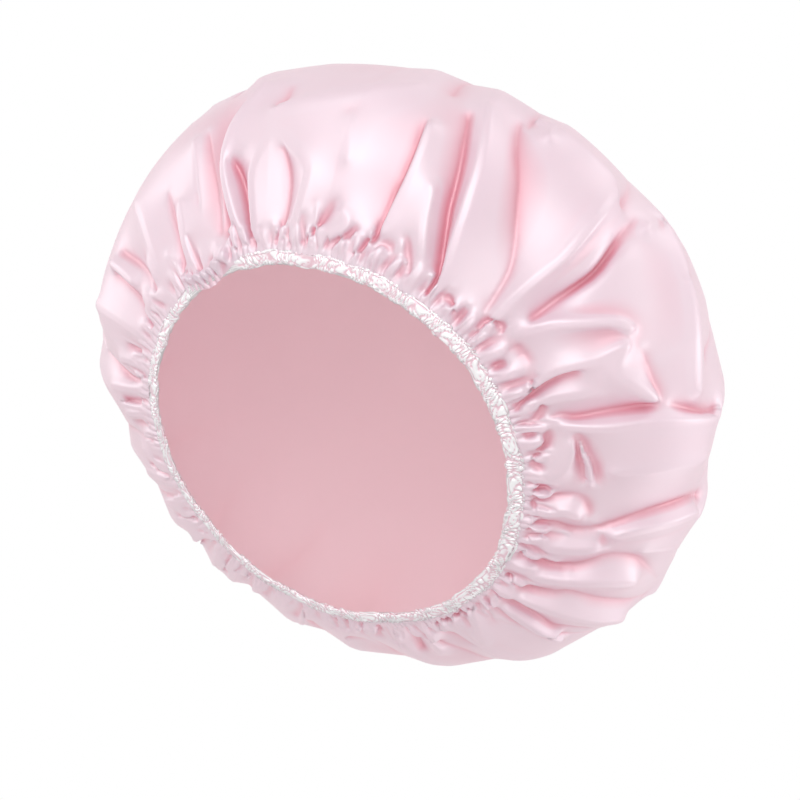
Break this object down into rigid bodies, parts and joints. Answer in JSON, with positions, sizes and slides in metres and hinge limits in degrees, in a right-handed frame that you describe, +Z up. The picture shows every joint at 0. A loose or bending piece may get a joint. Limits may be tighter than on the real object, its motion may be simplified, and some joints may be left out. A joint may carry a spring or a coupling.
{
  "type": "shower cap",
  "caption": "Bouffant shower cap: a gathered satin shell over a film lining, closed by a ruched elastic hem that grips the head.",
  "frame": {"origin": "centre of the mouth, on the plane that the rim rests on", "axes": "+Z up through the middle of the crown, square to the mouth; the mouth faces -Z; -Y is the side nearest the camera in the picture"},
  "size_m": [0.2754, 0.2783, 0.143],
  "materials": {
    "satin_shell": "pale pink satin, soft sheen",
    "film_lining": "matte rose film",
    "ruched_casing": "near-white pink satin, finely ruched",
    "elastic": "knitted flat elastic, matt",
    "tack_thread": "spun sewing thread",
    "seam_thread": "spun sewing thread"
  },
  "bodies": {
    "root": {"outer_shell": "satin_shell", "inner_lining": "film_lining", "hem_casing": "ruched_casing", "elastic_band": "elastic", "elastic_tack_thread": "tack_thread", "hem_seam_thread_outer": "seam_thread", "hem_seam_thread_inner": "seam_thread"}
  },
  "joints": []
}
